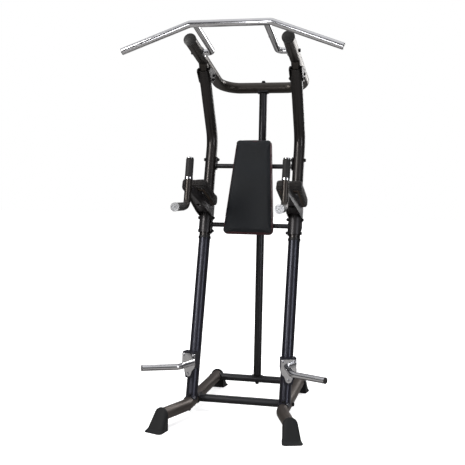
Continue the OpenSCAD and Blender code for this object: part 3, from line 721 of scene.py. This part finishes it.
def stitches(name, pad, slab, seam_height):
    """One row of lockstitch by the seam, each stitch a small bent capsule on the cover."""
    mesh = pad.data
    tree = KDTree(len(mesh.vertices))
    for v in mesh.vertices:
        tree.insert(v.co, v.index)
    tree.balance()
    ring = spaced(slab.outline, STITCH_PITCH)
    verts, faces = [], []
    for i, (a, b) in enumerate(ring):
        guess = slab.point(a, b, seam_height + STITCH_ABOVE_SEAM)
        found, index, _ = tree.find(guess)
        normal = mesh.vertices[index].normal
        # the found place moved to the stitch's height, then back onto the surface
        middle = found + slab.normal * ((guess - found).dot(slab.normal))
        middle = middle + normal * (found - middle).dot(normal)
        run = slab.direction(*tangent((a, b), ring[(i + 1) % len(ring)]))
        run = (run - normal * run.dot(normal)).normalized()
        side = normal.cross(run)
        first = len(verts)
        for along, out in STITCH_PATH:
            centre = middle + run * (along * STITCH_LENGTH) + normal * (out * STITCH_RADIUS)
            radius = STITCH_RADIUS * (0.75 if abs(along) > 0.4 else 1.0)
            for k in range(STITCH_SIDES):
                angle = k * math.pi / 3
                verts.append(centre + side * (radius * math.cos(angle))
                             + normal * (radius * math.sin(angle)))
        faces += tube_sides(first, len(STITCH_PATH), STITCH_SIDES)
        faces.append(tuple(range(first, first + STITCH_SIDES))[::-1])
        faces.append(tuple(range(len(verts) - STITCH_SIDES, len(verts))))
    register(new_object(name, verts, faces, [LOOKS["thread"]]))


def corner_amounts(outline):
    """0 on straight runs, up to 1 where the outline turns fast."""
    amounts = []
    for i, b in enumerate(outline):
        a, c = outline[i - 2], outline[(i + 2) % len(outline)]
        before = math.atan2(b[1] - a[1], b[0] - a[0])
        after = math.atan2(c[1] - b[1], c[0] - b[0])
        turn = abs((after - before + math.pi) % (2 * math.pi) - math.pi)
        amounts.append(min(1.0, turn / 0.22))
    return amounts


def wrap(name, slab, face, gusset, flap):
    """Vinyl turned over the backing board's edge: a closed folded strip, gathered at corners.
    flap is how far it reaches in over the back of the board."""
    thick = VINYL_THICKNESS
    width = slab.thickness
    # (outwards from the board's edge, height above its back): outer skin, then inner skin back
    profile = [
        (-flap, -0.00012 - thick), (-flap + 0.002, -0.0004 - thick),
        (-0.004, -0.0004 - thick), (-0.0006, 0.0002 - thick),
        (0.0008 + thick, 0.0014), (0.0014 + thick, width * 0.35),
        (0.0026 + thick, width * 0.7), (0.0052 + thick, width + 0.0003),
        (0.0046, width + 0.0003), (0.0024, width * 0.7),
        (0.0010, width * 0.35), (0.0006, 0.0012),
        (-0.0008, -0.0001), (-0.004, -0.0001),
        (-flap + 0.002, -0.0001), (-flap, -0.0001),
    ]
    verts = []
    corners = corner_amounts(slab.outline)
    for i, (a, b) in enumerate(slab.outline):
        x, y = tangent_at(slab.outline, i)
        pleat = corners[i] * (0.5 + 0.5 * math.cos(i * math.pi))
        wave = 0.00018 * math.sin(i * 0.9) + 0.00012 * math.sin(i * 0.37 + 1.0)
        for k, (out, height) in enumerate(profile):
            lift = -(0.0007 * pleat + abs(wave) * 0.8) if k < 4 else 0.0
            if 3 < k < 7:
                out += 0.0006 * pleat + wave
            # the flap is shorter at the corners so that it does not fold over itself
            if out < 0:
                out *= 1.0 - 0.35 * corners[i]
            verts.append(slab.point(a + y * out, b - x * out, slab.bottom + height + lift))
    faces = tube_sides(0, len(slab.outline), len(profile), closed=True)
    obj = new_object(name, verts, faces, [gusset])
    recalculate_normals(obj)
    if face is not gusset:
        obj.data.materials.append(face)
        for polygon in obj.data.polygons:
            # painted shade: the wrap's uphill faces take the black face vinyl instead of the
            # gusset's maroon
            if polygon.normal.dot(slab.uphill) > TOP_SHADE_UPHILL:
                polygon.material_index = 1
    register(obj)


STAPLE_HALF_LENGTH = 0.0050
STAPLE_STEP = 0.0006                  # unit of height in STAPLE_PATH
WIRE_HALF_WIDTH = 0.00045
WIRE_HALF_THICKNESS = 0.0003
STAPLE_HEIGHT = 0.00165               # middle of the staple off the board's back
# (along in half lengths, away from the board in steps): leg, crown, leg
STAPLE_PATH = [(-1.0, -1.6), (-1.0, -0.2), (-0.86, 0.45), (0.86, 0.45), (1.0, -0.2), (1.0, -1.6)]
LEG_POINTS = (0, 1, 4, 5)


def staples(name, slab, edge_inset, pitch):
    """Row of slightly uneven staples on the flap behind the board."""
    ring = spaced(slab.outline, pitch)
    verts, faces = [], []
    draw = random.Random(3)
    away = -slab.normal
    for i, (a, b) in enumerate(ring):
        x, y = tangent_at(ring, i)
        twist = draw.uniform(-0.16, 0.16)
        out = -edge_inset + draw.uniform(-0.0012, 0.0012)
        centre = slab.point(a + y * out, b - x * out, slab.bottom - STAPLE_HEIGHT)
        x, y = (x * math.cos(twist) - y * math.sin(twist),
                x * math.sin(twist) + y * math.cos(twist))
        run = slab.direction(x, y)
        side = slab.direction(y, -x)
        first = len(verts)
        for k, (along, rise) in enumerate(STAPLE_PATH):
            bend = centre + run * (along * STAPLE_HALF_LENGTH) + away * (rise * STAPLE_STEP)
            across = away
            if k in LEG_POINTS:
                across = run * (-1 if along < 0 else 1)
            for u, v in ((-1, -1), (1, -1), (1, 1), (-1, 1)):
                verts.append(bend + side * (u * WIRE_HALF_WIDTH)
                             + across * (v * WIRE_HALF_THICKNESS))
        faces += tube_sides(first, len(STAPLE_PATH), 4)
        faces.append((first, first + 3, first + 2, first + 1))
        faces.append(tuple(range(len(verts) - 4, len(verts))))
    obj = new_object(name, verts, faces, [LOOKS["staple"]], smooth=False)
    recalculate_normals(obj)
    register(obj)


def upholster(kind, side, facing, face, gusset, rim_radius, seam_depth,
              cover_points, wrap_points, flap, staple_inset, staple_pitch):
    """Cover, board wrap, staples and stitching of one pad."""
    def named(piece):
        return kind + "_pad_" + piece + side

    cushion = Slab(named("cushion"), facing, cover_points)
    pad, seam_height = cover(named("cushion"), named("cover"), cushion, [face, gusset],
                             rim_radius, seam_depth)
    board = Slab(named("board"), facing, wrap_points)
    wrap(named("wrap"), board, face, gusset, flap)
    staples(named("staples"), board, staple_inset, staple_pitch)
    stitches(named("stitching"), pad, cushion, seam_height)


upholster("back", "", facing=Vector((0, -1, 0.25)).normalized(),
          face=LOOKS["vinyl"], gusset=LOOKS["maroon"], rim_radius=0.0080, seam_depth=0.0012,
          cover_points=168, wrap_points=200, flap=0.024, staple_inset=0.015, staple_pitch=0.034)
for side in ("_left", "_right"):
    upholster("arm", side, facing=Vector((0, -0.3, 1)).normalized(),
              face=LOOKS["vinyl_arm"], gusset=LOOKS["vinyl_arm"], rim_radius=0.013,
              seam_depth=0.0011, cover_points=120, wrap_points=150, flap=0.011,
              staple_inset=0.0062, staple_pitch=0.026)


# ---------------------------------------------------------------- moulded rubber boots
def boot(foot):
    """Softened copy of a CAD foot."""
    name = foot.replace("foot", "boot")
    mesh = PARTS[foot].data.copy()
    mesh.name = name
    obj = bpy.data.objects.new(name, mesh)
    scene.collection.objects.link(obj)
    add_modifier(obj, "WELD", merge_threshold=1e-5)
    add_modifier(obj, "REMESH", mode="VOXEL", voxel_size=0.0017, use_smooth_shade=True)
    add_modifier(obj, "SMOOTH", factor=0.5, iterations=5)
    apply_modifiers(obj)
    obj.data.materials.clear()
    obj.data.materials.append(LOOKS["boot"])
    register(obj, replaces=foot)


for foot in ("front_foot_left", "front_foot_right", "rear_foot_left", "rear_foot_right"):
    boot(foot)


# ---------------------------------------------------------------- stage, light, camera
def floor_material():
    """Pale to the camera, darker to all other rays, glowing out into the white backdrop."""
    t = Material("floor_pale")
    tone = t.mix(t.remap(t.noise(scale=1.3, detail=3.0)), (0.86, 0.86, 0.86), (0.90, 0.90, 0.90))
    seen = t.add("LightPath").outputs["Is Camera Ray"]
    t.link(t.mix(seen, (0.27, 0.265, 0.26), tone), t.shader.inputs["Base Color"])
    set_inputs(t.shader, Roughness=0.9, Specular_IOR_Level=0.1, Emission_Color=(1, 1, 1, 1))
    t.link(t.bump(t.noise(scale=90.0, detail=3.0), distance=0.0003, strength=0.2),
           t.shader.inputs["Normal"])
    distance = t.add("VectorMath", operation="LENGTH")
    t.link(t.place, distance.inputs[0])
    seen = t.add("LightPath").outputs["Is Camera Ray"]
    glow = t.remap(distance.outputs["Value"], span=(0.7, 2.6), to=(0.55, 1.1))
    t.link(t.times(seen, by=glow), t.shader.inputs["Emission Strength"])
    return t.material


def build_floor():
    material = floor_material()
    bpy.ops.mesh.primitive_plane_add(size=60, location=(0, 0, 0))
    floor = bpy.context.object
    floor.name = "floor"
    floor.data.materials.append(material)


# (position from straight down, 0, to straight up, 1; light colour)
SKY = [
    (0.0, (0.30, 0.29, 0.28, 1)),
    (0.44, (0.24, 0.23, 0.225, 1)),
    (0.50, (0.050, 0.050, 0.054, 1)),
    (0.60, (0.055, 0.055, 0.060, 1)),
    (0.70, (0.20, 0.20, 0.21, 1)),
    (0.84, (0.62, 0.62, 0.64, 1)),
    (1.0, (1.10, 1.10, 1.13, 1)),
]


def build_world():
    """White to the camera; a banded studio sky for light and reflections."""
    world = bpy.data.worlds.new("studio")
    scene.world = world
    world.use_nodes = True
    t = Nodes(world.node_tree)
    for node in list(t.tree.nodes):
        t.tree.nodes.remove(node)
    output = t.add("OutputWorld")
    light_path = t.add("LightPath")
    backdrop = t.add("Background")
    set_inputs(backdrop, Color=(1, 1, 1, 1), Strength=1.0)
    sky = t.add("Background")
    choice = t.add("MixShader")
    direction = t.add("TexCoord")
    split = t.add("SeparateXYZ")
    t.link(direction.outputs["Generated"], split.inputs[0])
    height = t.remap(split.outputs["Z"], span=(-1.0, 1.0))
    ramp = t.add("ValToRGB")
    t.link(height, ramp.inputs[0])
    stops = ramp.color_ramp.elements
    for stop, (position, colour) in ((stops[0], SKY[0]), (stops[1], SKY[-1])):
        stop.position, stop.color = position, colour
    for position, colour in SKY[1:-1]:
        stops.new(position).color = colour
    t.link(ramp.outputs["Color"], sky.inputs["Color"])
    set_inputs(sky, Strength=0.8)
    t.link(light_path.outputs["Is Camera Ray"], choice.inputs[0])
    t.link(sky.outputs[0], choice.inputs[1])
    t.link(backdrop.outputs[0], choice.inputs[2])
    t.link(choice.outputs[0], output.inputs["Surface"])


def area_light(name, location, target, width, height, power, colour=(1, 1, 1)):
    light = bpy.data.lights.new(name, "AREA")
    light.shape = "RECTANGLE"
    light.size, light.size_y = width, height
    light.energy = power
    light.color = colour
    obj = bpy.data.objects.new(name, light)
    obj.location = location
    aim = Vector(target) - Vector(location)
    obj.rotation_euler = aim.to_track_quat("-Z", "Y").to_euler()
    scene.collection.objects.link(obj)
    return obj


def build_lights():
    area_light("key", location=(-2.6, -3.4, 3.0), target=(0, 0, 1.1),
               width=0.9, height=2.6, power=105, colour=(1.0, 0.985, 0.96))
    area_light("fill", location=(3.2, -2.4, 1.6), target=(0, 0, 1.0),
               width=0.6, height=2.8, power=38, colour=(0.92, 0.94, 1.0))
    area_light("strip", location=(-0.7, -5.2, 1.5), target=(0, 0, 1.1),
               width=0.30, height=3.0, power=20, colour=(0.96, 0.96, 1.0))
    top = area_light("top", location=(0.2, -0.6, 4.2), target=(0, 0, 0.6),
                     width=3.0, height=3.0, power=120, colour=(1.0, 0.99, 0.98))
    top.visible_glossy = False
    area_light("rim", location=(1.6, 3.0, 2.4), target=(0, 0, 1.2),
               width=1.0, height=2.4, power=45)


def build_camera():
    place = Vector((0.910, -4.4347, 1.315))
    turn = math.radians(12.56)    # from +Y towards -X
    dip = math.radians(3.33)      # below the horizontal
    roll = math.radians(0.86)
    view = Vector((-math.sin(turn) * math.cos(dip), math.cos(turn) * math.cos(dip),
                   -math.sin(dip)))
    level = view.cross(Vector((0, 0, 1))).normalized()
    upright = level.cross(view)
    right = level * math.cos(roll) + upright * math.sin(roll)
    up = upright * math.cos(roll) - level * math.sin(roll)
    data = bpy.data.cameras.new("camera")
    data.sensor_width = 36.0      # mm, as is the lens
    data.lens = 60.193548
    data.clip_end = 100
    camera = bpy.data.objects.new("camera", data)
    camera.matrix_world = Matrix(
        [(right[i], up[i], -view[i], place[i]) for i in range(3)] + [(0, 0, 0, 1)])
    scene.collection.objects.link(camera)
    scene.camera = camera


build_floor()
build_world()
build_lights()
build_camera()
scene.view_settings.view_transform = "Standard"
scene.view_settings.look = "None"
